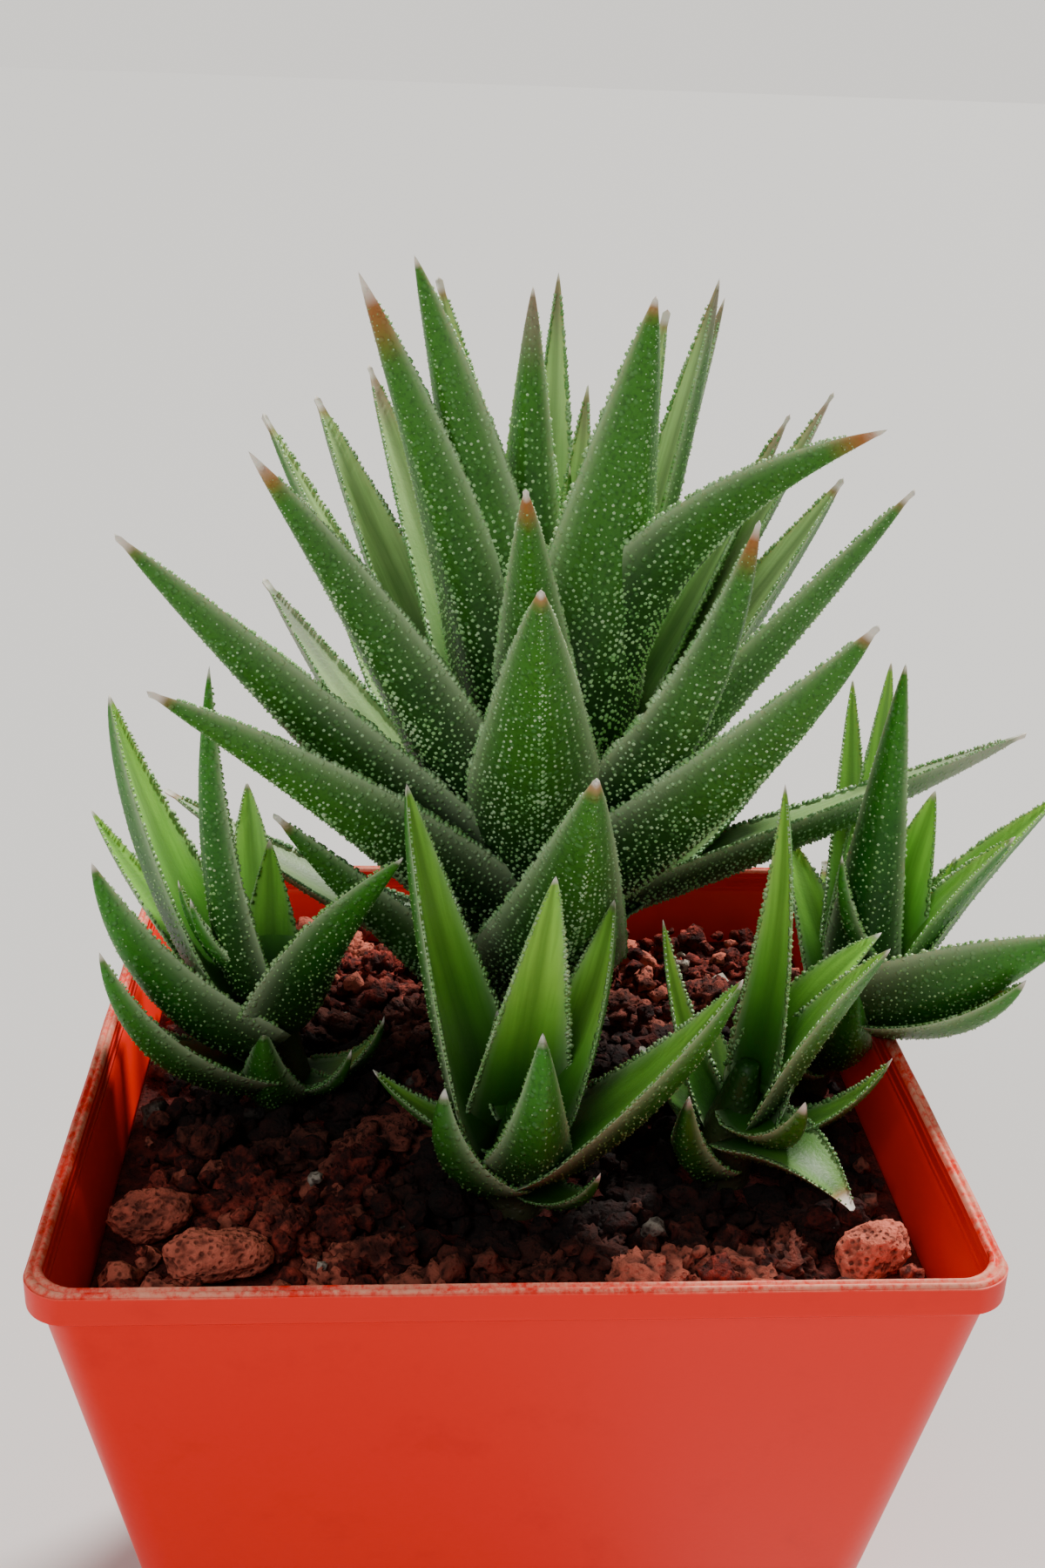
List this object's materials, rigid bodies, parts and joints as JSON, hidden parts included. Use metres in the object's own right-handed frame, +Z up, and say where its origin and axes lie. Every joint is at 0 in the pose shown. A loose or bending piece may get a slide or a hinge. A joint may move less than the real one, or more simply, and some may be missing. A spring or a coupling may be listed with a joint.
{
  "type": "potted haworthia rigida",
  "caption": "Clump of haworthia rigida with keeled, white-dotted, pointed leaves in rosettes, in red lava grit in a square tapered nursery pot.",
  "frame": {"origin": "centre of the flat underside of the pot, on the surface that it stands on", "axes": "+Z up out of the pot; -Y towards the front, the side of the pot that the picture shows; +X to its right"},
  "size_m": [0.0963, 0.0893, 0.1503],
  "materials": {
    "pot_plastic": "satin",
    "lava_grit": "matte",
    "lava_stone": "matte",
    "main_leaf": "satin",
    "offset_leaf": "satin"
  },
  "bodies": {
    "root": {"pot": "pot_plastic", "substrate": "lava_grit", "lava_stone_1": "lava_stone", "lava_stone_2": "lava_stone", "lava_stone_3": "lava_stone", "main_rosette": "main_leaf", "left_offset": "offset_leaf", "front_offset": "offset_leaf", "front_right_offset": "offset_leaf", "right_offset": "offset_leaf"}
  },
  "joints": []
}
